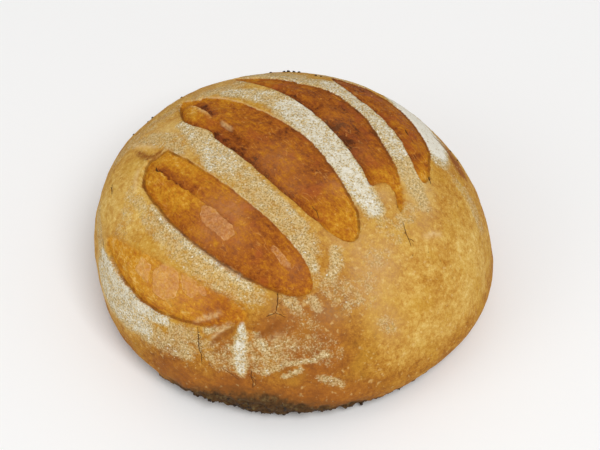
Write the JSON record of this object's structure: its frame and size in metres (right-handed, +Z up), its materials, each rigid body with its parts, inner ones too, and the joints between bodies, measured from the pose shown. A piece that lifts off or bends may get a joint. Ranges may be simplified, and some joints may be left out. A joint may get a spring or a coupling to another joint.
{
  "type": "sourdough loaf",
  "caption": "Round sourdough loaf with a floured, slashed crown, bulging torn slashes and a dark, craggy foot; rests on its flat base.",
  "frame": {"origin": "middle of the footprint's bounding box, on the surface that the loaf stands on", "axes": "+Z up through the crown; +X along the loaf's longest way; the slashes run from the back left (-X, +Y) to the front right (+X, -Y)"},
  "size_m": [0.2614, 0.2398, 0.1215],
  "materials": {
    "crust": "matt baked crust, golden brown, darker and orange-brown in the slashes, burnt at the foot",
    "flour": "matt off-white flour, dusted and baked on",
    "burnt_crumb": "matt black-brown burnt crumbs of crust"
  },
  "bodies": {
    "root": {"loaf": "crust"}
  },
  "joints": []
}
